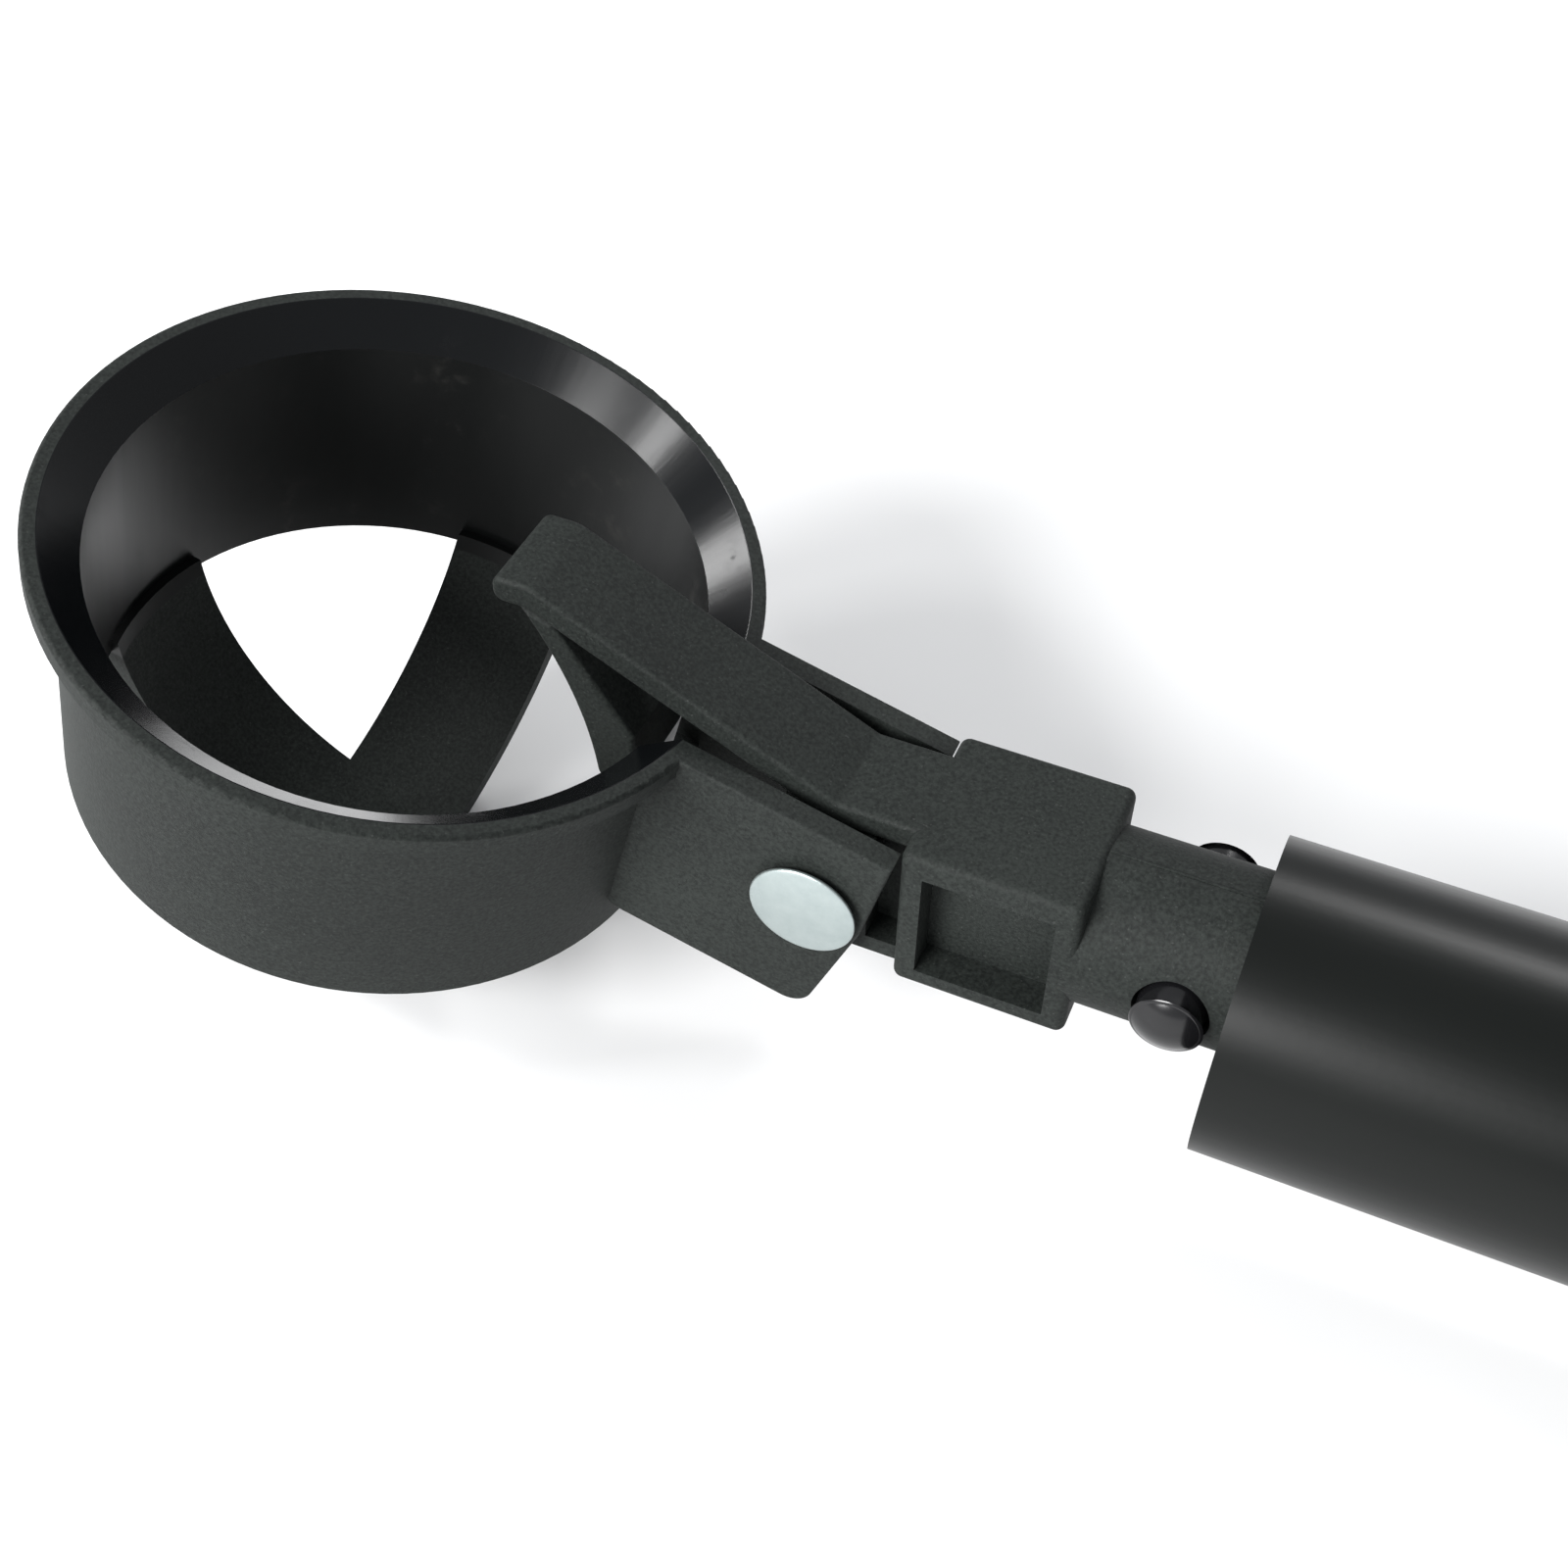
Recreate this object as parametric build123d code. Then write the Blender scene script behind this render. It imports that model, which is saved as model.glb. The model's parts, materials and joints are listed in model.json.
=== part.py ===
from build123d import *
import os
from math import asin, atan2, cos, degrees, hypot, radians, sin, sqrt

# Golf ball retriever: a telescopic pole with a hinged ring cup and a hook finger on its head.
#
# Every piece is drawn in the tool frame: origin on the cup's hinge axis, +X along the pole
# towards the grip, +Y across, +Z up.  The cup has a frame of its own, with its origin at the
# centre of the rim's top face.  At the end the whole tool is laid on a floor: it is tipped
# about Y until the ribs and the rear end both touch, then moved so that the origin is at the
# middle of the bottom of its box.  All sizes are in millimetres.

over = 1.0                    # how far a cutter runs past the face it opens
through = 10.0                # half length of a cutter that crosses the whole head

# ---- ball and cup (cup frame) ----
ball_d = 42.67
ball_seat_gap = 2.8           # ball to inner wall, all round
wall_t = 2.1
wall_below_middle = 3.565     # wall's lower edge under the ball's middle
rim_over = 2.065              # lip's outside past the wall
rim_land = 1.3                # flat ring on top of the lip
rim_lip_h = 1.9
rim_under_h = 1.6             # height of the cone under the lip
rim_edge_r = 0.35
flare_h = 3.05
ball_top_over_rim = 0.75
rib_w = 12.0
rib_into_wall = 1.5
cup_inner_r = ball_d / 2 + ball_seat_gap
cup_outer_r = cup_inner_r + wall_t
ball_z = ball_top_over_rim - ball_d / 2
rib_floor_z = ball_z - ball_d / 2
rim_r = cup_outer_r + rim_over
wall_h = ball_d / 2 + wall_below_middle

# ---- cup arms and hinge (cup frame) ----
hinge_out = 13.815            # hinge axis from the wall
hinge_x = cup_outer_r + hinge_out
hinge_z = -8.3
arm_out = 7.4                 # outside of each arm, from the middle plane
arm_t = 2.0
arm_end_x = hinge_x + 4.75
arm_h = 21.2
arm_knee_h = 8.9              # straight part of the arm's rear edge
arm_taper = 1.6
arm_corner_r = 2.2
arm_edge_r = 0.3
finger_slot_h = 13.0          # gap in the wall between the arms, for the finger's leg
cup_tilt = 14.6               # degrees between the rim's plane and the pole, cup shut
cup_open = 34.0               # degrees the cup swings open
rivet_r = 2.0
rivet_head_r = 4.37
rivet_head_t = 0.8
rivet_lift = 0.55             # head's rim off the arm
rivet_boss_r = 3.0
rivet_skirt = 0.3             # straight edge of the head
washer_r = 4.4
washer_t = 0.6
tail_r = 3.3
tail_t = 0.8
tail_chamfer = 0.35
wire_r = 0.4                  # torsion spring
coil_r = 3.2
coil_half_l = 1.9
spring_leg_y = 1.4
spring_leg_x = 4.2            # end of the leg that rests on the block
spring_foot_z = -8.0          # end of the leg that rests on the cup
spring_foot_gap = 0.15
run_gap = 0.06                # radial clearance of a running fit
fit_gap = 0.02                # radial clearance of a fixed fit
side_gap = 0.2

# ---- head: block, tongue, finger, collar ----
block_x0 = 7.05
block_l = 14.0
block_half_w = arm_out - 0.6
block_z0 = -6.2
block_h = 14.65
block_edge_r = 0.8
pocket_side = 1.85            # block wall beside the pocket
pocket_top = 2.15
pocket_depth = 2.9
tongue_r = 5.9
tongue_half_w = arm_out - arm_t - side_gap
notch_x = 4.2                 # shallow recess in each side of the tongue
notch_depth = 2.6
notch_floor = 1.6             # above the tongue's underside
slot_half_w = 2.4
slot_r = 4.3
finger_half_w = tongue_half_w - 1.0
finger_t = 2.3
finger_bend_x = 0.9
finger_rise = 26.2            # degrees
finger_reach = 27.9           # along the slope
finger_tip = 2.9
finger_bend_r = 2.0
finger_tip_r = 0.9
finger_edge_r = 0.45
leg_top = (-25.0, 18.8)       # ball side of the leg, from the hinge
leg_mid = (-21.2, 11.4)
leg_low = (-19.3, 2.4)
leg_back_top = (-22.2, 17.6)  # the leg's straight back
leg_back_low = (-15.9, 8.2)
leg_end_r = 1.2
collar_r = 7.03
collar_l = 15.0
collar_wall = 1.2
collar_chamfer = 0.4
axis_z = block_z0 + block_h / 2
collar_x0 = block_x0 + block_l
collar_x1 = collar_x0 + collar_l

# ---- telescopic tubes, smallest first ----
tube_wall = 0.7
tube_step = 2.1833            # each tube's radius over the one inside it
tube_r = [collar_r - collar_wall - 0.13 + stage * tube_step for stage in range(4)]
tube_name = ["inner", "middle_small", "middle_large", "outer"]
stage_play = (-0.47, -0.65)   # each tube hangs this far across and down from the next smaller
stage_drop = hypot(*stage_play)
bush_l = 14.0
bush_set = [0.0, 0.3, 0.6, 1.0]  # mouth bush behind its tube's mouth
rear_bush_l = 18.0
rear_lip = 2.0
bush_wall = tube_step - tube_wall - stage_drop - run_gap - fit_gap
ring_w = 2.2
ring_depth = 0.58 * bush_wall
stop_gap = 1.0

# ---- snap buttons ----
bore_r = tube_r[0] - tube_wall
button_r = 2.85
button_x = collar_x0 + 7.45
button_top = collar_r + 2.07  # dome's top, from the pole's axis
button_dome = 1.1
button_foot = bore_r - 1.6
button_flange_t = 0.6
button_flange_r = sqrt(bore_r ** 2 - (button_foot + button_flange_t) ** 2) - 0.05
clip_t = 0.4
clip_w = 5.0
clip_gap = 0.1
clip_back = 3.0               # clip in front of the button's centre
clip_l = 18.0
button_travel = button_foot - clip_gap - clip_t - 0.1  # both can be pressed at once

# ---- where each tube starts and ends ----
mouth_behind_button = 1.15
outer_mouth_x = button_x + button_r + mouth_behind_button
tube_mouth = [collar_x0 + 2.2, collar_x1 + 0.55, collar_x1 + 0.95, outer_mouth_x]
outer_tube_l = 560.0
outer_end_x = outer_mouth_x + outer_tube_l
tube_end = [outer_end_x - 36.5, outer_end_x - 26.5, outer_end_x - 16.5, outer_end_x]

# ---- grip and rear end ----
grip_r = tube_r[3] + 2.75
grip_l = 215.0
grip_end_x = outer_end_x - 12.5
grip_round = 2.5
trim_l = 6.0
trim_r = tube_r[3] + 2.35
trim_chamfer = 1.6
plug_l = 11.5
cap_r = tube_r[3] + 2.95
cap_skirt = 11.5
cap_wall = 8.0
cap_edge_r = 1.5
tab_half_t = 3.0
tab_r = 8.0
tab_l = 14.0
hang_hole_r = 3.25
screw_x = outer_end_x - 5.5
screw_r = 1.4
screw_l = 6.0
screw_head_r = 2.6
screw_head_t = 1.2
screw_head_gap = 0.2
screw_edge_r = 0.5
drive_l = 3.0                 # cross recess in the screw's head
drive_w = 0.6

cup_place = Rot(0, cup_tilt, 0) * Pos(-hinge_x, 0, -hinge_z)


def axis_at(stage):
    """Place of a stage's axis: each larger tube hangs a little on the one inside it."""
    return Pos(0, stage * stage_play[0], axis_z + stage * stage_play[1])


def bar(r, x0, x1, stage=0):
    """Round bar along X about a stage's axis."""
    return axis_at(stage) * Pos((x0 + x1) / 2, 0, 0) * Rot(0, 90, 0) * Cylinder(r, x1 - x0)


def pipe(r_out, r_in, x0, x1, stage=0):
    return bar(r_out, x0, x1, stage) - bar(r_in, x0 - over, x1 + over, stage)


def cross_pin(r, y0, y1, x=0.0, z=0.0):
    """Round pin along Y."""
    return Pos(x, (y0 + y1) / 2, z) * Rot(90, 0, 0) * Cylinder(r, abs(y1 - y0))


def block(x0, x1, y0, y1, z0, z1):
    return Pos((x0 + x1) / 2, (y0 + y1) / 2, (z0 + z1) / 2) * Box(x1 - x0, y1 - y0, z1 - z0)


def turned(points):
    """Solid turned about the cup's Z axis from (radius, height) points."""
    return revolve(make_face(Plane.XZ * Polyline(*points, close=True)), Axis.Z)


def plate(face, half_w):
    """Flat shape in X and Z made 2 * half_w thick across Y."""
    return extrude(face, amount=half_w, both=True)


def cup_ring():
    land_r = rim_r - rim_land
    under_z = -rim_lip_h - rim_under_h
    ring = turned([(cup_inner_r, -wall_h), (cup_outer_r, -wall_h), (cup_outer_r, under_z),
                   (rim_r, -rim_lip_h), (rim_r, 0), (land_r, 0), (cup_inner_r, -flare_h)])
    edges = ring.edges().filter_by(GeomType.CIRCLE)
    top = [e for e in edges if e.radius > rim_r - run_gap and e.center().Z > -rim_edge_r]
    return fillet(top, rim_edge_r)


def cup_ribs():
    """Cross of two straps under the ball, cut from a round bowl as wide as the wall."""
    centre_z = rib_floor_z + cup_inner_r
    bowl = Sphere(cup_outer_r) - Sphere(cup_inner_r)
    wide = 2 * cup_outer_r + over
    cross = Box(wide, rib_w, 2 * cup_outer_r) + Box(rib_w, wide, 2 * cup_outer_r)
    top_z = -wall_h + rib_into_wall - centre_z
    return Pos(0, 0, centre_z) * (bowl & (Pos(0, 0, top_z - cup_outer_r) * cross))


def cup_arms():
    start_x = cup_inner_r
    outline = Plane.XZ * Polyline((start_x, 0), (arm_end_x, 0), (arm_end_x, -arm_knee_h),
                                  (arm_end_x - arm_taper, -arm_h), (start_x, -arm_h), close=True)
    both = plate(make_face(outline), arm_out)
    rear = both.edges().filter_by(Axis.Y).sort_by(Axis.X)[-4:]
    both = fillet([e for e in rear if e.center().Z < -arm_h + over], arm_corner_r)
    outer = [e for e in both.edges() if abs(e.center().Y) > arm_out - arm_edge_r]
    both = fillet([e for e in outer if e.center().X > start_x + over], arm_edge_r)
    inner_y = arm_out - arm_t
    both -= block(start_x - over, arm_end_x + over, -inner_y, inner_y, -arm_h - over, over)
    return both - cross_pin(rivet_r + fit_gap, -through, through, hinge_x, hinge_z)


def cup():
    land_r = rim_r - rim_land
    room = turned([(0, -2 * wall_h), (cup_inner_r, -2 * wall_h), (cup_inner_r, -flare_h),
                   (land_r, 0), (land_r, over), (0, over)])
    slot_half = arm_out - arm_t
    slot = block(0, rim_r + over, -slot_half, slot_half, -finger_slot_h, over)
    return cup_place * (cup_ring() - slot + (cup_arms() - room) + cup_ribs())


def dome(base_r, height):
    """Spherical cap on the Z = 0 plane."""
    ball_r = (base_r ** 2 + height ** 2) / (2 * height)
    return Pos(0, 0, height - ball_r) * Sphere(ball_r) & Pos(0, 0, height) * Cylinder(base_r, 2 * height)


def hinge_rivet():
    face = arm_out + fit_gap
    rim = face + rivet_lift
    shank = cross_pin(rivet_r, -rim, face + washer_t + tail_t / 2)
    boss = cross_pin(rivet_boss_r, -rim - rivet_skirt / 2, -face)
    skirt = cross_pin(rivet_head_r, -rim, -rim - rivet_skirt)
    head = Pos(0, -rim - rivet_skirt, 0) * Rot(90, 0, 0) * dome(rivet_head_r, rivet_head_t - rivet_skirt)
    tail = cross_pin(tail_r, face + washer_t, face + washer_t + tail_t)
    tail = chamfer(tail.edges().sort_by(Axis.Y)[-1], tail_chamfer)
    return shank + boss + skirt + head + tail


def rivet_washer():
    face = arm_out + fit_gap
    hole = cross_pin(rivet_r + fit_gap, face - over, face + washer_t + over)
    return cross_pin(washer_r, face, face + washer_t) - hole


def torsion_spring():
    """Plain sleeve for the coil, with its two straight legs."""
    sleeve = cross_pin(coil_r + wire_r, -coil_half_l, coil_half_l)
    sleeve -= cross_pin(coil_r - wire_r, -through, through)
    rest = Pos(spring_leg_x / 2, -spring_leg_y, -coil_r) * Rot(0, 90, 0)
    to_block = rest * Cylinder(wire_r, spring_leg_x)
    wall_x = cup_outer_r - hinge_x
    foot_x = wall_x + wire_r + spring_foot_gap
    end = Rot(0, cup_tilt, 0) * Pos(foot_x, spring_leg_y, spring_foot_z)
    leg = Line(Vector(-wire_r, spring_leg_y, -coil_r), end.position)
    to_cup = sweep(Plane(origin=leg @ 0, z_dir=leg % 0) * Circle(wire_r), path=leg)
    return sleeve + to_block + to_cup


def rounded_strap(outline):
    """Flat outline made as wide as the finger, with its long edges rounded."""
    strap = plate(Plane.XZ * outline, finger_half_w)
    sides = [e for e in strap.edges() if abs(e.center().Y) > finger_half_w - finger_edge_r]
    return fillet(sides, finger_edge_r)


def finger():
    """Strap that rises from the block, with a leg that drops beside the ball."""
    top_z = block_z0 + block_h - finger_t / 2
    rise = radians(finger_rise)
    bend = (finger_bend_x, top_z)
    knee = (bend[0] - finger_reach * cos(rise), bend[1] + finger_reach * sin(rise))
    tip = (knee[0] - finger_tip, knee[1])
    root = (block_x0 + over, top_z)
    strap = FilletPolyline(root, bend, knee, tip, radius=finger_bend_r)
    foot = (leg_back_low[0], leg_low[1])
    front = ThreePointArc(leg_top, leg_mid, leg_low)
    back = Polyline(leg_low, foot, leg_back_low, leg_back_top, leg_top)
    leg = make_face([front, back])
    leg = fillet(leg.vertices().sort_by(Axis.Y)[:2], leg_end_r)
    upper = trace(strap, finger_t)
    upper = fillet(upper.vertices().sort_by(Axis.X)[:2], finger_tip_r)
    return rounded_strap(upper) + rounded_strap(leg)


def head_block():
    z1 = block_z0 + block_h
    x1 = block_x0 + block_l
    body = block(block_x0, x1, -block_half_w, block_half_w, block_z0, z1)
    body = fillet(body.edges(), block_edge_r)
    tongue = cross_pin(tongue_r, -tongue_half_w, tongue_half_w)
    tongue += block(0, block_x0 + over, -tongue_half_w, tongue_half_w, -tongue_r, tongue_r)
    slot = block(-through, slot_r, -slot_half_w, slot_half_w, -through, slot_r)
    for side in (-1, 1):
        deep = side * (tongue_half_w - notch_depth)
        out = side * (tongue_half_w + over)
        slot += block(notch_x, block_x0, min(deep, out), max(deep, out),
                      notch_floor - tongue_r, tongue_r + over)
    collar = bar(collar_r, x1 - over, collar_x1)
    collar = chamfer(collar.edges().sort_by(Axis.X)[-1], collar_chamfer)
    part = body + (tongue - slot) + finger() + collar
    part -= bar(tube_r[0] + fit_gap, tube_mouth[0] - side_gap, collar_x1 + over)
    part -= cross_pin(rivet_r + run_gap, -through, through)
    part -= cross_pin(button_r + run_gap, -through, through, button_x, axis_z)
    for side in (-1, 1):
        inner_y = side * (block_half_w - pocket_depth)
        outer_y = side * (block_half_w + over)
        part -= block(block_x0 + pocket_side, x1 - pocket_side, min(inner_y, outer_y),
                      max(inner_y, outer_y), block_z0 + pocket_side, z1 - pocket_top)
    return part


def snap_button(side):
    """Domed steel button that stands out through the collar; side is -1 near, +1 far."""
    shoulder = button_top - button_dome
    post = cross_pin(button_r, side * button_foot, side * shoulder)
    flange = cross_pin(button_flange_r, side * button_foot, side * (button_foot + button_flange_t))
    cap = Pos(0, side * shoulder, 0) * Rot(-90 * side, 0, 0) * dome(button_r, button_dome)
    return Pos(button_x, 0, axis_z) * (post + flange + cap)


def button_clip():
    """Sprung strip bent into a U, whose legs push the two buttons out."""
    leg_y = button_foot - clip_gap - clip_t / 2
    x0 = button_x - clip_back
    x1 = x0 + clip_l
    far = Line((x0, leg_y), (x1, leg_y))
    near = Line((x0, -leg_y), (x1, -leg_y))
    bend = ThreePointArc((x1, leg_y), (x1 + leg_y, 0), (x1, -leg_y))
    strip = trace(far, clip_t) + trace(near, clip_t) + trace(bend, clip_t)
    return Pos(0, 0, axis_z) * extrude(strip, amount=clip_w / 2, both=True)


def tube(i):
    shell = pipe(tube_r[i], tube_r[i] - tube_wall, tube_mouth[i], tube_end[i], i)
    if i == 0:
        shell -= cross_pin(button_r + run_gap, -through, through, button_x, axis_z)
    if i == 3:
        shell -= axis_at(3) * Pos(screw_x, 0, tube_r[3]) * Cylinder(screw_r + fit_gap, screw_l)
    return shell


def mouth_bush(i):
    """Guide ring in the mouth of tube i, for the tube inside it."""
    x0 = tube_mouth[i] + bush_set[i]
    hole_r = tube_r[i - 1] + stage_drop + run_gap
    return pipe(tube_r[i] - tube_wall - fit_gap, hole_r, x0, x0 + bush_l, i)


def rear_bush_r(i):
    return tube_r[i + 1] - tube_wall - stage_drop - run_gap


def rear_bush(i):
    """Guide ring on the rear end of tube i, with a lip behind it and a groove round it."""
    x1 = tube_end[i] + rear_lip
    x0 = x1 - rear_bush_l
    out_r = rear_bush_r(i)
    ring = pipe(out_r, tube_r[i] + fit_gap, x0, x1, i)
    ring += pipe(out_r, tube_r[i] - tube_wall, tube_end[i] + fit_gap, x1, i)
    middle = (x0 + x1) / 2
    groove = pipe(out_r + over, out_r - ring_depth, middle - ring_w / 2, middle + ring_w / 2, i)
    return ring - groove


def friction_ring(i):
    """Rubber ring in the rear bush's groove, which holds the stage where it is pulled to."""
    middle = tube_end[i] + rear_lip - rear_bush_l / 2
    out_r = rear_bush_r(i)
    half = ring_w / 2 - fit_gap
    return pipe(out_r + run_gap / 2, out_r - ring_depth + fit_gap, middle - half, middle + half, i)


def grip():
    x0 = grip_end_x - grip_l
    sleeve = pipe(grip_r, tube_r[3] + fit_gap, x0, grip_end_x, 3)
    rims = [e for e in sleeve.edges().filter_by(GeomType.CIRCLE) if e.radius > grip_r - run_gap]
    return fillet(rims, grip_round)


def grip_trim():
    """Ring in front of the grip."""
    x1 = grip_end_x - grip_l - fit_gap
    ring = pipe(trim_r, tube_r[3] + fit_gap, x1 - trim_l, x1, 3)
    rims = [e for e in ring.edges().filter_by(GeomType.CIRCLE) if e.radius > trim_r - run_gap]
    return chamfer(min(rims, key=lambda e: e.center().X), trim_chamfer)


def end_plug():
    x1 = tube_end[3]
    plug = bar(tube_r[3] - tube_wall - fit_gap, x1 - plug_l, x1, 3)
    plug -= axis_at(3) * Pos(screw_x, 0, tube_r[3]) * Cylinder(screw_r + fit_gap, 2 * screw_l)
    return plug


def end_cap():
    """Cup over the rear end, with a flat tab that has a hole to hang the tool by."""
    x1 = tube_end[3]
    x2 = x1 + cap_wall
    cap = bar(cap_r, x1 - cap_skirt, x2, 3)
    rims = [e for e in cap.edges().filter_by(GeomType.CIRCLE) if e.center().X > x1]
    cap = fillet(rims, cap_edge_r)
    tab_x = x2 + tab_l - tab_r
    tab = block(x2 - over, tab_x, -tab_half_t, tab_half_t, -tab_r, tab_r)
    tab += cross_pin(tab_r, -tab_half_t, tab_half_t, tab_x)
    tab -= cross_pin(hang_hole_r, -through, through, tab_x)
    cap += axis_at(3) * tab
    cap -= bar(tube_r[3] + fit_gap, x1 - cap_skirt - over, x1 + fit_gap, 3)
    cap -= axis_at(3) * Pos(screw_x, 0, cap_r) * Cylinder(screw_r + fit_gap, 2 * screw_l)
    cap -= axis_at(3) * Pos(screw_x, 0, cap_r) * Cylinder(screw_head_r + screw_head_gap, 2 * screw_head_t)
    return cap


def end_cap_screw():
    """Short self-tapping screw through cap and tube into the plug."""
    seat = cap_r - screw_head_t
    shank = Pos(screw_x, 0, seat - screw_l / 2) * Cylinder(screw_r, screw_l)
    head = Pos(screw_x, 0, seat + screw_head_t / 2) * Cylinder(screw_head_r, screw_head_t)
    head = fillet(head.edges().filter_by(GeomType.CIRCLE).sort_by(Axis.Z)[-1], screw_edge_r)
    cross = Box(drive_l, drive_w, screw_head_t) + Box(drive_w, drive_l, screw_head_t)
    return axis_at(3) * (shank + head - Pos(screw_x, 0, seat + screw_head_t) * cross)


def all_nodes():
    nodes = {"cup": cup(), "hinge_rivet": hinge_rivet(), "rivet_washer": rivet_washer(),
             "torsion_spring": torsion_spring(), "head_block": head_block(),
             "snap_button_near": snap_button(-1), "snap_button_far": snap_button(1),
             "button_clip": button_clip()}
    for i, name in enumerate(tube_name):
        nodes[name + "_tube"] = tube(i)
        if i > 0:
            nodes[name + "_mouth_bush"] = mouth_bush(i)
        if i < 3:
            nodes[name + "_rear_bush"] = rear_bush(i)
            nodes[name + "_friction_ring"] = friction_ring(i)
    nodes.update({"grip": grip(), "grip_trim": grip_trim(), "end_plug": end_plug(),
                  "end_cap": end_cap(), "end_cap_screw": end_cap_screw()})
    return nodes


def lie_angle():
    """Degrees that the tool tips about Y to rest on the ribs' bowl and the cap's rim."""
    bowl = cup_place * Pos(0, 0, rib_floor_z + cup_inner_r)
    dx = tube_end[3] - bowl.position.X
    dz = axis_at(3).position.Z - cap_r - bowl.position.Z
    return degrees(atan2(dz, dx) + asin(cup_outer_r / hypot(dx, dz)))


nodes = all_nodes()
tip = Rot(0, lie_angle(), 0)
box = Compound(children=[tip * shape for shape in nodes.values()]).bounding_box()
lie = Pos(-(box.min.X + box.max.X) / 2, -(box.min.Y + box.max.Y) / 2, -box.min.Z) * tip

# travel of each stage: its rear bush runs forward to the mouth bush of the tube round it
travel = []
for stage in range(3):
    rear_face = tube_end[stage] + rear_lip - rear_bush_l
    mouth_face = tube_mouth[stage + 1] + bush_set[stage + 1] + bush_l
    travel.append(rear_face - mouth_face - stop_gap)

if __name__ == "__main__":
    os.makedirs("parts", exist_ok=True)
    for name, shape in nodes.items():
        placed = lie * shape
        placed.label = name
        export_step(placed, "parts/" + name + ".step")
    print("box", box.size, "lie", round(lie_angle(), 3), "travel", [round(t, 1) for t in travel])
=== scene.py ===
import json
import bmesh
import bpy
import numpy as np
from mathutils import Matrix, Vector


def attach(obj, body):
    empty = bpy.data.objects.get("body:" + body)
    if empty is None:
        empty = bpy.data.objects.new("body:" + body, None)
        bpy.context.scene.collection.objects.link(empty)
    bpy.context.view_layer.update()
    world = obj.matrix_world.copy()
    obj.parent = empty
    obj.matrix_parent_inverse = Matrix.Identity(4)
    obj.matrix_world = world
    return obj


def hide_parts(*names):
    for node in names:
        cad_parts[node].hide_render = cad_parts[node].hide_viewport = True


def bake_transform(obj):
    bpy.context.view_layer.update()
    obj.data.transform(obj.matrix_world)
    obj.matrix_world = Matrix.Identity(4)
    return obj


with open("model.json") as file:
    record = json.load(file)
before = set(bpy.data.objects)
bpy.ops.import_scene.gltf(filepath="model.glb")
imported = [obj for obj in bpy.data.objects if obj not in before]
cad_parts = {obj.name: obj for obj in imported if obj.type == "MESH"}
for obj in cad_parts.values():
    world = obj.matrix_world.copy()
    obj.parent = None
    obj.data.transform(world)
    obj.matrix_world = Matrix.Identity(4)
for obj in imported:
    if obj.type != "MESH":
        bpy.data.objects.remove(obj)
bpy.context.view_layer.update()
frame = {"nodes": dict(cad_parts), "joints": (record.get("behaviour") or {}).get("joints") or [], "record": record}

record = frame["record"]
nodes = frame["nodes"]
joints = {j["name"]: j for j in frame["joints"]}
mm = 0.001

# the tool's own axes: origin on the cup's hinge, X back along the pole, Z up
hinge = np.array(joints["cup_hinge"]["pos_m"])
poleX = -np.array(joints["inner_extend"]["axis"])
poleY = np.array([0.0, 1.0, 0.0])
toolAxes = np.stack([poleX, poleY, np.cross(poleX, poleY)])


def toRow(points):  # place = hinge + x * pole axis + y * cross axis + z * up
    return hinge + np.asarray(points, float) @ toolAxes


def span(node):  # lowest and highest corner of a node, in the tool's axes
    flat = np.zeros(len(nodes[node].data.vertices) * 3, np.float32)
    nodes[node].data.vertices.foreach_get("co", flat)
    own = (flat.reshape(-1, 3) - hinge) @ toolAxes.T
    return own.min(0), own.max(0)


def middle(node):
    low, high = span(node)
    return (low + high) / 2


poleZ = middle("inner_friction_ring")[2]  # height of the head's axis over the hinge
seat = next(m for m in record["mounts"] if m["name"] == "ball_seat")
cupUp = np.array(seat["axis"])
cupLean = float(np.arctan2(cupUp[0], cupUp[2]))


def gridMesh(name, points, closed=(False, False), smooth=35):  # points[u, v] is a grid of places
    nu, nv = points.shape[:2]
    index = np.arange(nu * nv).reshape(nu, nv)
    if closed[0]:
        index = np.vstack([index, index[:1]])
    if closed[1]:
        index = np.hstack([index, index[:, :1]])
    quads = np.stack([index[:-1, :-1], index[1:, :-1], index[1:, 1:], index[:-1, 1:]], -1).reshape(-1, 4)
    mesh = bpy.data.meshes.new(name)
    mesh.from_pydata(points.reshape(-1, 3).tolist(), [], quads.tolist())
    work = bmesh.new()
    work.from_mesh(mesh)
    bmesh.ops.remove_doubles(work, verts=work.verts, dist=1e-7)
    bmesh.ops.recalc_face_normals(work, faces=work.faces)
    work.to_mesh(mesh)
    work.free()
    mesh.polygons.foreach_set("use_smooth", [True] * len(mesh.polygons))
    mesh.set_sharp_from_angle(angle=np.radians(smooth))
    piece = bpy.data.objects.new(name, mesh)
    bpy.context.scene.collection.objects.link(piece)
    return piece


def turned(name, profile, centre, axis, sides=96):
    # profile of (along, radius) carried round: place = centre + along * axis + radius * (cos, sin)
    axis = np.asarray(axis, float)
    side = np.cross(axis, [0.3, 0.2, 1.0])
    side /= np.linalg.norm(side)
    other = np.cross(axis, side)
    turn = np.linspace(0, 2 * np.pi, sides, endpoint=False)
    ring = np.cos(turn)[:, None] * side + np.sin(turn)[:, None] * other
    profile = np.asarray(profile, float)
    points = profile[:, None, :1] * axis + profile[:, None, 1:] * ring
    return gridMesh(name, toRow(np.asarray(centre) + points), (False, True))


def arc(centre, radius, start, end, steps):  # centre + radius * (cos, sin), angles in degrees
    a = np.radians(np.linspace(start, end, steps))
    return np.stack([centre[0] + radius * np.cos(a), centre[1] + radius * np.sin(a)], -1)


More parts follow.
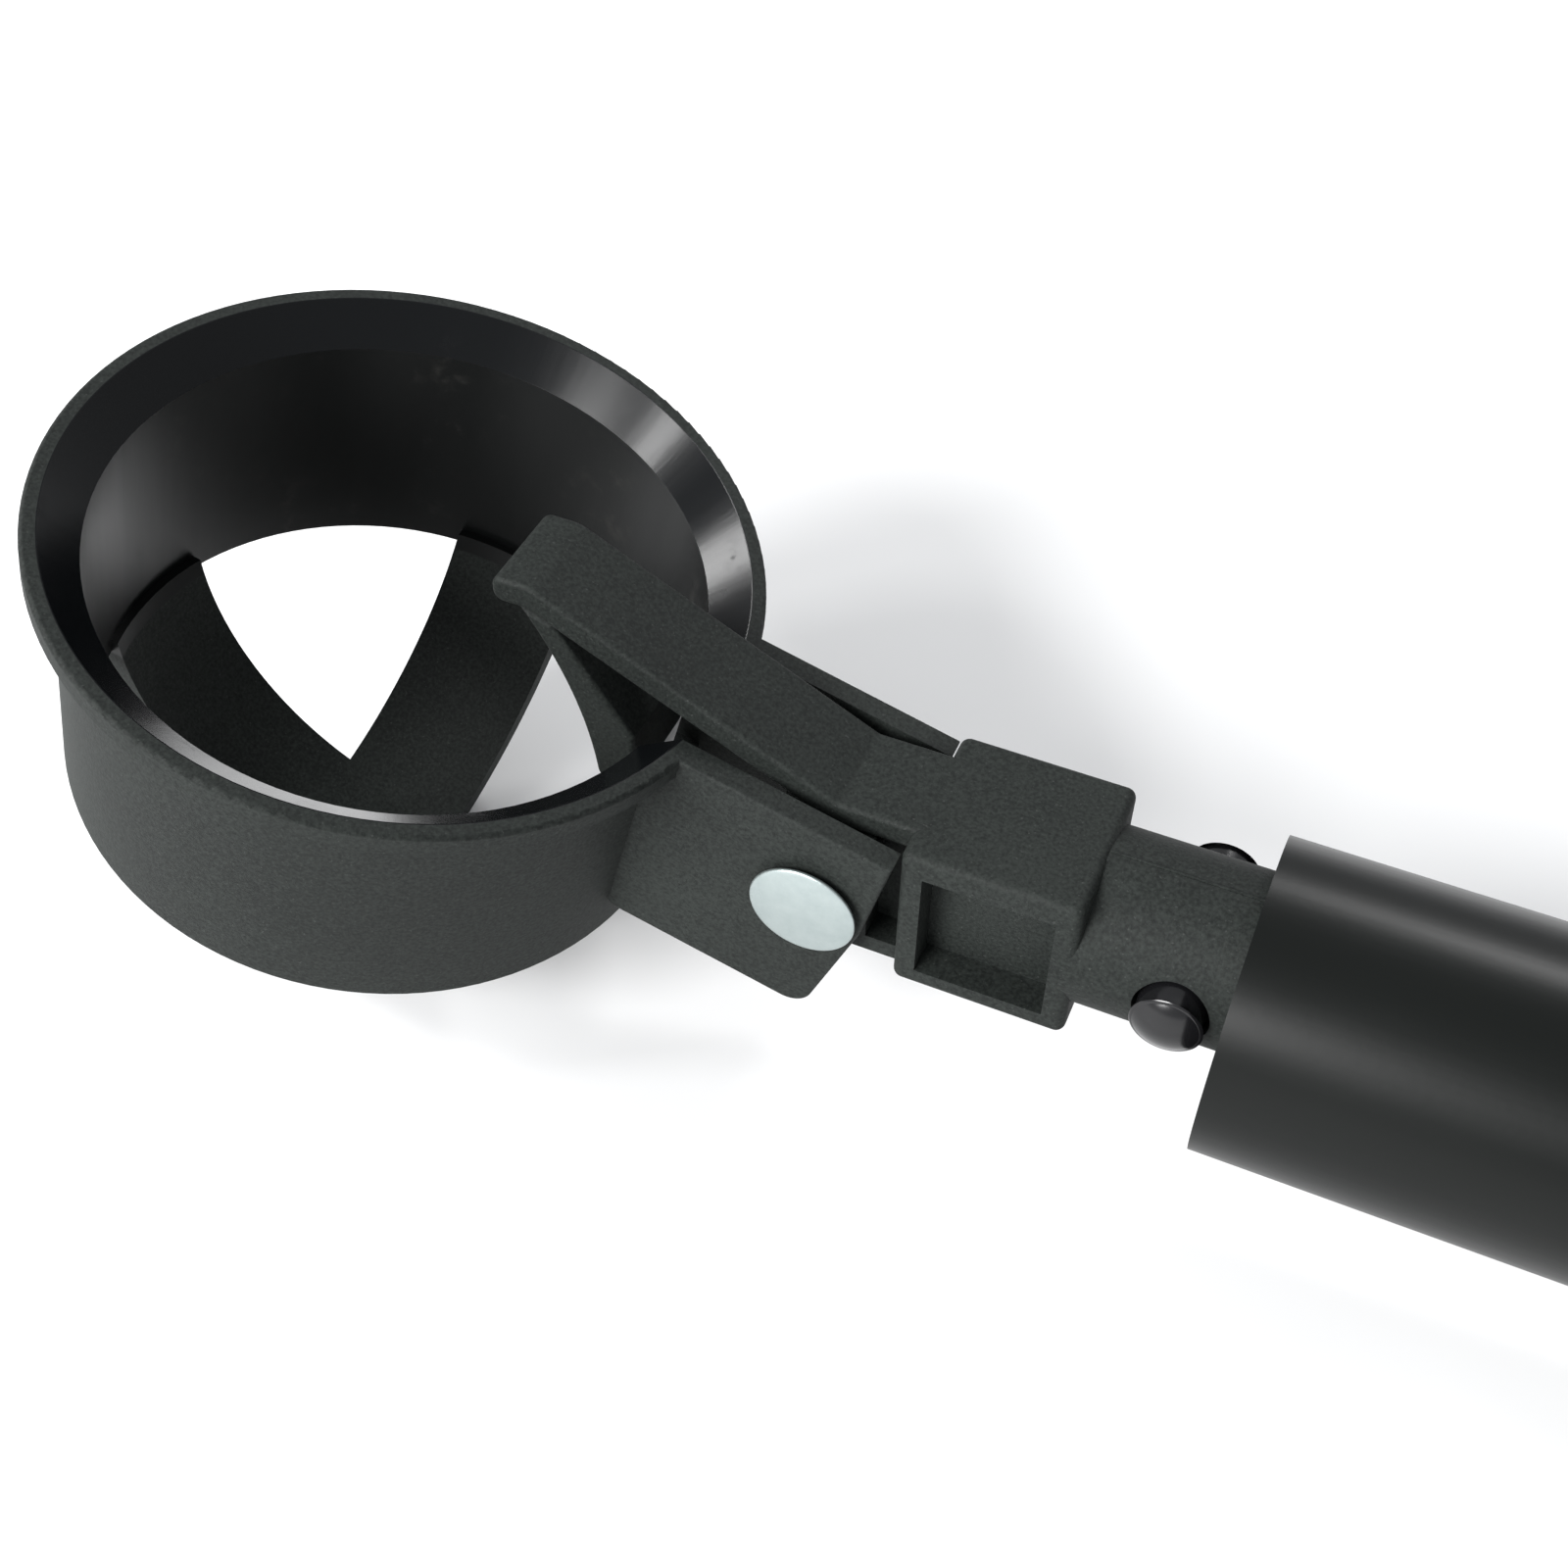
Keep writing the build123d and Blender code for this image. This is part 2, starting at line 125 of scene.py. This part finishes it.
def carried(name, path, section, reference, smooth=50):
    # place = path + first * across + second * upward, with the ends drawn in to a point
    path = np.asarray(path, float)
    tangent = np.gradient(path, axis=0)
    tangent /= np.linalg.norm(tangent, axis=1, keepdims=True)
    across = np.cross(tangent, reference)
    across /= np.linalg.norm(across, axis=1, keepdims=True)
    upward = np.cross(across, tangent)
    points = path[:, None] + section[None, :, :1] * across[:, None] + section[None, :, 1:] * upward[:, None]
    ends = [np.repeat(path[i][None], len(section), 0)[None] for i in (0, -1)]
    return gridMesh(name, toRow(np.concatenate([ends[0], points, ends[1]])), (False, True), smooth)


def roundSection(radius, sides=14):  # radius * (cos, sin)
    a = np.linspace(0, 2 * np.pi, sides, endpoint=False)
    return radius * np.stack([np.cos(a), np.sin(a)], -1)


class Num:  # a socket that adds Math nodes when it is reckoned with
    def __init__(self, finish, socket):
        self.finish = finish
        self.socket = socket

    def make(self, operation, *others):
        inputs = dict(enumerate((self, *others)))
        return self.finish.node("ShaderNodeMath", {"operation": operation}, inputs)

    def __add__(self, other):
        return self.make("ADD", other)

    def __mul__(self, other):
        return self.make("MULTIPLY", other)

    def __sub__(self, other):
        return self.make("SUBTRACT", other)

    def __rsub__(self, other):
        return self.finish.node("ShaderNodeMath", {"operation": "SUBTRACT"}, {0: other, 1: self})

    __radd__ = __add__
    __rmul__ = __mul__

    def ramp(self, low, high):  # smooth step from 0 at low to 1 at high
        inputs = {"Value": self, "From Min": low, "From Max": high}
        return self.finish.node("ShaderNodeMapRange", {"interpolation_type": "SMOOTHSTEP"}, inputs)


class Finish:
    def __init__(self, name):
        self.material = bpy.data.materials.new(name)
        self.material.use_nodes = True
        self.tree = self.material.node_tree
        self.tree.nodes.clear()
        self.shader = self.tree.nodes.new("ShaderNodeBsdfPrincipled")
        output = self.tree.nodes.new("ShaderNodeOutputMaterial")
        self.tree.links.new(self.shader.outputs[0], output.inputs[0])
        self.place = self.node("ShaderNodeTexCoord", {}, {}, "Object")

    def node(self, kind, settings, inputs, output=0):
        made = self.tree.nodes.new(kind)
        for key, value in settings.items():
            if key == "stops":
                while len(made.color_ramp.elements) < len(value):
                    made.color_ramp.elements.new(0.5)
                for element, (position, colour) in zip(made.color_ramp.elements, value):
                    element.position = position
                    element.color = (*colour, 1)
            else:
                setattr(made, key, value)
        self.fill(made, inputs)
        return Num(self, made.outputs[output])

    def fill(self, made, inputs):
        for key, value in inputs.items():
            if isinstance(value, Num):
                self.tree.links.new(value.socket, made.inputs[key])
            else:
                made.inputs[key].default_value = value

    def set(self, **values):  # sockets of the shader, with _ for a space
        self.fill(self.shader, {key.replace("_", " "): value for key, value in values.items()})

    def noise(self, scale, detail, rough, place=None):
        inputs = {"Vector": place or self.place, "Scale": scale, "Detail": detail, "Roughness": rough}
        return self.node("ShaderNodeTexNoise", {}, inputs, "Fac")

    def stretched(self, scale, turn, centre=(0, 0, 0)):  # the place, moved, turned and scaled
        inputs = {"Vector": self.place, "Location": centre, "Rotation": turn, "Scale": scale}
        return self.node("ShaderNodeMapping", {"vector_type": "TEXTURE"}, inputs)

    def mix(self, factor, first, second):
        first, second = (c if isinstance(c, Num) else (*c, 1) for c in (first, second))
        return self.node("ShaderNodeMix", {"data_type": "RGBA"}, {0: factor, 6: first, 7: second}, 2)

    def bump(self, height, distance, strength=1.0):
        inputs = {"Height": height, "Distance": distance, "Strength": strength}
        return self.node("ShaderNodeBump", {}, inputs)

    def split(self, vector):
        made = self.node("ShaderNodeSeparateXYZ", {}, {0: vector}).socket.node
        return [Num(self, socket) for socket in made.outputs]


plastic = {"lit": (0.022, 0.026, 0.0235), "deep": (0.006, 0.0075, 0.0068), "worn": (0.085, 0.09, 0.086),
           "rough": 0.66, "grainSize": 0.30 * mm, "grainDepth": 0.03 * mm, "cloudScale": 60,
           "speckScale": 4200, "speckShare": 0.3}


def mouldedPlastic(finish):  # colour, roughness and normal of the grained black-grey plastic
    grain = finish.noise(1 / plastic["grainSize"], 3, 0.6)
    cloud = finish.noise(plastic["cloudScale"], 4, 0.6)
    speck = finish.noise(plastic["speckScale"], 1, 0.5).ramp(0.66, 0.80)
    mottle = (grain * 0.7 + cloud * 0.3).ramp(0.30, 0.70)
    colour = finish.mix(mottle, plastic["deep"], plastic["lit"])
    colour = finish.mix(speck * plastic["speckShare"], colour, plastic["worn"])
    rough = plastic["rough"] + (cloud - 0.5) * 0.14
    return colour, rough, finish.bump(grain, plastic["grainDepth"])


def headFinish():
    finish = Finish("headPlastic")
    colour, rough, normal = mouldedPlastic(finish)
    finish.set(Base_Color=colour, Roughness=rough, Normal=normal, Specular_IOR_Level=0.2)
    return finish.material


cupSizes = {"innerRadius": 24.135 * mm, "flareHeight": 3.05 * mm, "landRadius": 27.0 * mm,
            "floorDrop": 41.92 * mm, "wallHeight": 24.9 * mm, "skin": 0.08 * mm, "unrolled": 26 * mm}
cupLook = {"wall": (0.0025, 0.003, 0.003), "scuffed": (0.05, 0.048, 0.044), "flare": (0.003, 0.0035, 0.004),
           "wallRough": 0.36, "flareSmoother": 0.16, "streakScale": 900, "broadScale": 110,
           "scuffScale": 300, "scuffShare": 0.6, "waveDepth": 0.03 * mm}


def cupFinish():
    finish = Finish("cupPlastic")
    colour, rough, normal = mouldedPlastic(finish)
    rimCentre = np.array(seat["pos_m"]) + cupUp * cupSizes["floorDrop"]
    own = finish.stretched((1, 1, 1), (0, cupLean, 0), tuple(rimCentre))
    x, y, z = finish.split(own)
    radius = (x * x + y * y).make("SQRT")
    # the polished inside ends at radius = inner radius + slope * height over the flare's foot + skin
    slope = (cupSizes["landRadius"] - cupSizes["innerRadius"]) / cupSizes["flareHeight"]
    overFoot = z + cupSizes["flareHeight"]
    edge = overFoot.make("MAXIMUM", 0.0) * slope + cupSizes["innerRadius"] + cupSizes["skin"]
    overBottom = (z + cupSizes["wallHeight"]).ramp(-0.2 * mm, 0.1 * mm)
    inside = (edge - radius).ramp(-0.02 * mm, 0.02 * mm) * overBottom
    onFlare = overFoot.ramp(-0.05 * mm, 0.05 * mm)
    turn = y.make("ARCTAN2", x)
    wrapped = finish.node("ShaderNodeCombineXYZ", {}, {0: turn * cupSizes["unrolled"], 1: z * 0.12, 2: 0.0})
    streak = finish.noise(cupLook["streakScale"], 3, 0.6, wrapped)
    broad = finish.noise(cupLook["broadScale"], 3, 0.65, wrapped)
    scuff = finish.noise(cupLook["scuffScale"], 6, 0.7).ramp(0.52, 0.75) * broad.ramp(0.45, 0.7)
    wallColour = finish.mix(scuff * cupLook["scuffShare"], cupLook["wall"], cupLook["scuffed"])
    polished = finish.mix(onFlare, wallColour, cupLook["flare"])
    flareRough = onFlare * -cupLook["flareSmoother"] + cupLook["wallRough"]
    polishedRough = flareRough + (broad - 0.5) * 0.16 + scuff * 0.2
    wave = finish.bump(streak * 0.5 + broad, cupLook["waveDepth"], 0.5)
    bent = finish.node("ShaderNodeMix", {"data_type": "VECTOR"}, {0: inside, 4: normal, 5: wave}, 1)
    finish.set(Base_Color=finish.mix(inside, colour, polished), Normal=bent,
               Roughness=rough + (polishedRough - rough) * inside, Specular_IOR_Level=0.22)
    return finish.material


tubeLook = {"deep": (0.0020, 0.0026, 0.0022), "lit": (0.0036, 0.0046, 0.0040), "rough": 0.34,
            "drawnGrain": (30 * mm, 0.25 * mm, 0.25 * mm), "cloudScale": 45, "peelScale": 1300,
            "peelDepth": 0.006 * mm}


def tubeFinish():
    finish = Finish("tubePaint")
    lie = float(np.arctan2(-poleX[2], poleX[0]))
    drawn = finish.noise(1, 3, 0.6, finish.stretched(tubeLook["drawnGrain"], (0, lie, 0)))
    cloud = finish.noise(tubeLook["cloudScale"], 3, 0.5)
    peel = finish.noise(tubeLook["peelScale"], 2, 0.5)
    finish.set(Base_Color=finish.mix(cloud, tubeLook["deep"], tubeLook["lit"]),
               Roughness=tubeLook["rough"] + (drawn - 0.5) * 0.05 + (cloud - 0.5) * 0.05,
               Normal=finish.bump(peel * 0.6 + drawn * 0.4, tubeLook["peelDepth"]),
               Specular_IOR_Level=0.24)
    return finish.material


zincLook = {"deep": (0.36, 0.42, 0.42), "lit": (0.50, 0.56, 0.55), "rough": 0.40, "fineScale": 4200,
            "cloudScale": 700, "grainDepth": 0.02 * mm}


def zincFinish():
    finish = Finish("zincPlate")
    fine = finish.noise(zincLook["fineScale"], 3, 0.6)
    cloud = finish.noise(zincLook["cloudScale"], 4, 0.65)
    finish.set(Base_Color=finish.mix(cloud, zincLook["deep"], zincLook["lit"]), Metallic=0.85,
               Roughness=zincLook["rough"] + (fine - 0.5) * 0.2,
               Normal=finish.bump(fine * 0.5 + cloud, zincLook["grainDepth"]))
    return finish.material


def simpleFinish(name, low, high, rough, metallic=0.0, grain=1500, depth=0.01):  # depth in millimetres
    finish = Finish(name)
    fine = finish.noise(grain, 3, 0.6)
    cloud = finish.noise(grain / 12, 3, 0.6)
    finish.set(Base_Color=finish.mix(cloud, low, high), Metallic=metallic,
               Roughness=rough + (cloud - 0.5) * 0.12, Normal=finish.bump(fine, depth * mm))
    return finish.material


materials = {
    "head_plastic": headFinish(), "cupPlastic": cupFinish(), "outer_paint": tubeFinish(),
    "zinc_steel": zincFinish(),
    "spring_steel": simpleFinish("springSteel", (0.36, 0.35, 0.34), (0.50, 0.49, 0.48), 0.34, metallic=1.0),
    "black_steel": simpleFinish("blackSteel", (0.004, 0.004, 0.0045), (0.009, 0.009, 0.010), 0.18,
                                grain=900, depth=0.004),
    "inner_metal": simpleFinish("drawnAluminium", (0.17, 0.175, 0.18), (0.25, 0.255, 0.26), 0.32,
                                metallic=1.0, grain=1200, depth=0.006),
    "bush_plastic": simpleFinish("bushPlastic", (0.018, 0.018, 0.018), (0.032, 0.032, 0.032), 0.5),
    "ring_rubber": simpleFinish("ringRubber", (0.012, 0.012, 0.012), (0.02, 0.02, 0.02), 0.6),
    "grip_rubber": simpleFinish("gripRubber", (0.014, 0.0145, 0.0145), (0.028, 0.029, 0.029), 0.72,
                                grain=2200, depth=0.05),
    "trim_plastic": simpleFinish("trimPlastic", (0.010, 0.010, 0.011), (0.02, 0.02, 0.021), 0.32),
    "cap_rubber": simpleFinish("capRubber", (0.016, 0.016, 0.0165), (0.03, 0.03, 0.03), 0.6,
                               grain=2000, depth=0.03)}
for sub in record["subparts"]:
    mesh = nodes[sub["node"]].data
    mesh.materials.clear()
    mesh.materials.append(materials["cupPlastic" if sub["node"] == "cup" else sub["material_slot"]])
print("finishes done")


def finishPiece(piece, slot, body=None, node=None):
    piece.data.materials.append(materials[slot])
    if body:
        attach(piece, body)
    if node:
        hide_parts(node)
    return piece


rivet = {"shank": 2.0 * mm, "headRadius": 4.37 * mm, "armFace": 7.42 * mm, "headTop": 1.35 * mm,
         "crown": 0.5 * mm, "underLift": 0.5 * mm, "edge": 0.2 * mm, "boss": 3.0 * mm, "washer": 0.6 * mm,
         "tailRadius": 3.3 * mm, "tail": 0.8 * mm, "tailSide": 0.45 * mm, "tailChamfer": 0.5 * mm,
         "dimpleRadius": 1.5 * mm, "dimpleFloorRadius": 1.1 * mm, "dimpleFloor": 0.3 * mm}


def crownCurve(top, baseRadius, height, reach):  # along = top - sphere + sqrt(sphere^2 - reach^2)
    sphere = (baseRadius ** 2 + height ** 2) / (2 * height)
    return top - sphere + np.sqrt(sphere ** 2 - reach ** 2)


def rivetProfile():  # from the middle of the head, round its edge, along the shank to the tail's middle
    r, edge, armFace = rivet["headRadius"], rivet["edge"], rivet["armFace"]
    reach = np.linspace(0, 0.965 * r, 16)
    crown = np.stack([-crownCurve(armFace + rivet["headTop"], r, rivet["crown"], reach), reach], -1)
    rim = armFace + rivet["underLift"]
    shoulder = arc((-(rim + edge), r - edge), edge, 130, 0, 8)
    under = [[-rim, r - 1.5 * edge], [-rim, rivet["boss"]], [-armFace, rivet["boss"]],
             [-armFace, rivet["shank"]]]
    foot = armFace + rivet["washer"]
    end = foot + rivet["tail"]
    dimple = foot + rivet["dimpleFloor"]
    tail = [[foot, rivet["shank"]], [foot, rivet["tailRadius"]],
            [foot + rivet["tailSide"], rivet["tailRadius"]],
            [end, rivet["tailRadius"] - rivet["tailChamfer"]],
            [end, rivet["dimpleRadius"]], [dimple, rivet["dimpleFloorRadius"]], [dimple, 0]]
    return np.vstack([crown, shoulder, under, tail])


finishPiece(turned("rivetBody", rivetProfile(), (0, 0, 0), (0, 1, 0)), "zinc_steel", "cup", "hinge_rivet")

button = {"radius": 2.85 * mm, "top": 9.1 * mm, "dome": 1.1 * mm, "foot": 3.4 * mm, "flange": 2.95 * mm,
          "flangeDepth": 0.6 * mm, "edge": 0.4 * mm, "edgeDrop": 0.12 * mm}


def buttonProfile():  # from the middle of the dome, round its edge and down to the flange's middle
    r, edge = button["radius"], button["edge"]
    reach = np.linspace(0, r - edge * 0.6, 18)
    crown = np.stack([crownCurve(button["top"], r, button["dome"], reach), reach], -1)
    corner = arc((button["top"] - button["dome"] - button["edgeDrop"], r - edge), edge, 50, 0, 7)
    flangeTop = button["foot"] + button["flangeDepth"]
    side = [[flangeTop, r], [flangeTop, button["flange"]], [button["foot"], button["flange"]],
            [button["foot"], 0]]
    return np.vstack([crown, corner, side])


for side, name in ((-1, "near"), (1, "far")):
    low, high = span("snap_button_" + name)
    centre = ((low[0] + high[0]) / 2, 0, poleZ)
    piece = turned("buttonCap" + name.title(), buttonProfile(), centre, (0, side, 0))
    finishPiece(piece, "black_steel", "button_" + name, "snap_button_" + name)
print("rivet and buttons done")


coil = {"wire": 0.4 * mm, "radius": 3.2 * mm, "turns": 3.75, "halfWidth": 1.4 * mm, "steps": 220,
        "legSteps": 12, "blockGap": 0.2 * mm, "cupGap": 0.3 * mm, "cupLift": 0.5 * mm}


def hingeSpring():
    # leg on the block's side, helix radius * (cos, sin) round the rivet, leg on the cup's side
    turn = np.linspace(0, 1, coil["steps"])
    angle = -np.pi / 2 - 2 * np.pi * coil["turns"] * turn
    y = coil["halfWidth"] * (2 * turn - 1)
    wound = np.stack([coil["radius"] * np.cos(angle), y, coil["radius"] * np.sin(angle)], -1)
    low, high = span("torsion_spring")
    t = np.linspace(0, 1, coil["legSteps"])[:, None]
    first = wound[0] + (1 - t[:-1]) * np.array([high[0] - coil["blockGap"], 0, 0])
    start = wound[-1]
    end = np.array([low[0] + coil["cupGap"], coil["halfWidth"], low[2] + coil["cupLift"]])
    last = start + t[1:] * (end - start)
    return carried("springCoil", np.vstack([first, wound, last]), roundSection(coil["wire"]), (0, 1, 0))


spring = finishPiece(hingeSpring(), "spring_steel", None, "torsion_spring")
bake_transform(spring)

clip = {"thick": 0.4 * mm, "width": 5.0 * mm, "endGap": 0.3 * mm, "legSteps": 24, "bendSteps": 13}


def clipHalf(side, name):  # a straight leg, then a quarter circle to the clip's nose
    low, high = span("button_clip")
    legY = high[1] - clip["thick"] / 2
    bendX = high[0] - clip["thick"] / 2 - legY
    along = np.linspace(low[0] + clip["endGap"], bendX, clip["legSteps"])
    straight = np.stack([along, side * legY + 0 * along, poleZ + 0 * along], -1)
    a = np.linspace(np.pi / 2, 0, clip["bendSteps"] + 1)[1:]
    bend = np.stack([bendX + legY * np.cos(a), side * legY * np.sin(a), poleZ + 0 * a], -1)
    h, w = clip["thick"] / 2, clip["width"] / 2
    section = np.array([[-h, -w], [h, -w], [h, w], [-h, w]])
    half = carried("clipLeg" + name.title(), np.vstack([straight, bend]), section, (0, 0, 1))
    finishPiece(half, "spring_steel", None, "button_clip" if side < 0 else None)
    low, high = span("snap_button_" + name)
    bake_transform(half)


clipHalf(-1, "near")
clipHalf(1, "far")
print("springs done")


gripLook = {"ringPitch": 5.2 * mm, "ringDepth": 0.55 * mm, "dimpleDepth": 0.35 * mm, "dimples": 12,
            "ringSharp": 4, "ringStart": 0.65, "plain": 14 * mm, "fade": 3 * mm, "bore": 12.3 * mm,
            "round": 2.5 * mm, "rows": 520, "sides": 144}


def gripSleeve():
    # radius = outer - patterned * (ring depth * ring + dimple depth * cells^2), then the bore back
    low, high = span("grip")
    x0, x1, r = low[0], high[0], (high[1] - low[1]) / 2
    along = np.linspace(0, x1 - x0, gripLook["rows"])
    turn = np.linspace(0, 2 * np.pi, gripLook["sides"], endpoint=False)
    fromEnd = np.minimum(along, x1 - x0 - along)
    ends = np.clip(fromEnd / gripLook["round"], 0, 1)
    outer = r - gripLook["round"] * (1 - np.sqrt(1 - (1 - ends) ** 2)) * 0.9
    patterned = np.clip((fromEnd - gripLook["plain"]) / gripLook["fade"], 0, 1)[:, None]
    phase = (2 * np.pi * along / gripLook["ringPitch"])[:, None]
    ring = np.clip((np.cos(phase) - gripLook["ringStart"]) * gripLook["ringSharp"], 0, 1)
    stagger = np.pi / 2 * np.round(phase / 2 / np.pi)
    cells = np.abs(np.sin(phase / 2) * np.sin(gripLook["dimples"] * turn + stagger))
    cut = gripLook["ringDepth"] * ring + gripLook["dimpleDepth"] * cells ** 2
    radius = outer[:, None] - patterned * cut
    x = np.concatenate([x0 + along, [x1, x0]])[:, None]
    radius = np.vstack([radius, np.full((2, gripLook["sides"]), gripLook["bore"])])
    points = np.stack([x + 0 * radius, radius * np.cos(turn), radius * np.sin(turn)], -1)
    return gridMesh("gripSleeve", toRow(points + middle("grip") * [0, 1, 1]), (True, True), 60)


finishPiece(gripSleeve(), "grip_rubber", "handle", "grip")

# mould line along the top and bottom of the collar
seam = {"half": 0.16 * mm, "crest": 0.05 * mm, "lift": 0.10 * mm, "sunk": 0.2 * mm, "collarRadius": 7.03 * mm,
        "start": 20.9 * mm, "endGap": 0.4 * mm}


def mouldLine(name, side):  # a trapezium carried straight along the collar's top or bottom
    x1 = span("head_block")[1][0] - seam["endGap"]
    path = [[x, 0, poleZ + side * seam["collarRadius"]] for x in np.linspace(seam["start"], x1, 12)]
    section = np.array([[-seam["half"], -seam["sunk"]], [seam["half"], -seam["sunk"]],
                        [seam["crest"], seam["lift"]], [-seam["crest"], seam["lift"]]])
    piece = carried(name, path, section * [1, side], (0, 0, 1))
    return finishPiece(piece, "head_plastic", "head")


mouldLine("mouldLineTop", 1)
mouldLine("mouldLineUnder", -1)
print("grip and mould lines done")


studio = {"floorHalf": 4.0, "floorColour": (0.86, 0.86, 0.86, 1), "sky": (0.95, 0.97, 1.0, 1),
          "skyPower": 0.52, "aimHeight": 0.02}
floorEnds = (-studio["floorHalf"], studio["floorHalf"])
floorMesh = gridMesh("floor", np.array([[[x, y, 0.0] for y in floorEnds] for x in floorEnds]))
paper = Finish("paper")
paper.set(Base_Color=studio["floorColour"], Roughness=0.8, Specular_IOR_Level=0.2)
floorMesh.data.materials.append(paper.material)

world = bpy.data.worlds.new("studio")
world.use_nodes = True
background = world.node_tree.nodes["Background"]
background.inputs[0].default_value = studio["sky"]
background.inputs[1].default_value = studio["skyPower"]
bpy.context.scene.world = world
bpy.context.scene.view_settings.view_transform = "Standard"


def softLight(name, place, size, power):  # a panel of that size, or a sun with that spread in degrees
    lamp = bpy.data.lights.new(name, "AREA" if isinstance(size, tuple) else "SUN")
    lamp.energy = power
    if isinstance(size, tuple):
        lamp.shape = "RECTANGLE"
        lamp.size, lamp.size_y = size
    else:
        lamp.angle = np.radians(size)
    made = bpy.data.objects.new(name, lamp)
    made.location = Vector(hinge) + Vector(place)
    aim = Vector(hinge) + Vector((0, 0, studio["aimHeight"])) - made.location
    made.rotation_euler = aim.to_track_quat("-Z", "Y").to_euler()
    bpy.context.scene.collection.objects.link(made)


softLight("key", place=(-0.35, -0.85, 0.55), size=30.0, power=4.6)
softLight("back", place=(0.15, 0.60, 0.60), size=(0.3, 0.08), power=2.0)
softLight("left", place=(-0.61, 0.083, 0.33), size=(0.13, 0.13), power=1.3)
softLight("frontLeft", place=(-0.464, -0.35, 0.55), size=(0.10, 0.10), power=1.2)

view = {"azimuth": 24.072, "elevation": 46.739, "roll": -0.465, "lens": 45.0,
        "fromHinge": (37.76 * mm, -95.76 * mm, 115.43 * mm)}
azimuth, elevation, roll = np.radians([view["azimuth"], view["elevation"], view["roll"]])
outward = np.array([np.sin(azimuth), -np.cos(azimuth), 0])
backward = outward * np.cos(elevation) + np.array([0, 0, np.sin(elevation)])
level = np.array([np.cos(azimuth), np.sin(azimuth), 0])
upright = np.cross(backward, level)
right = level * np.cos(roll) + upright * np.sin(roll)
upward = upright * np.cos(roll) - level * np.sin(roll)
lens = bpy.data.cameras.new("camera")
lens.lens = view["lens"]
lens.clip_start = 0.005
camera = bpy.data.objects.new("camera", lens)
facing = Matrix([list(row) for row in np.stack([right, upward, backward], 1)]).to_4x4()
camera.matrix_world = Matrix.Translation(Vector(hinge + np.array(view["fromHinge"]))) @ facing
bpy.context.scene.collection.objects.link(camera)
bpy.context.scene.camera = camera
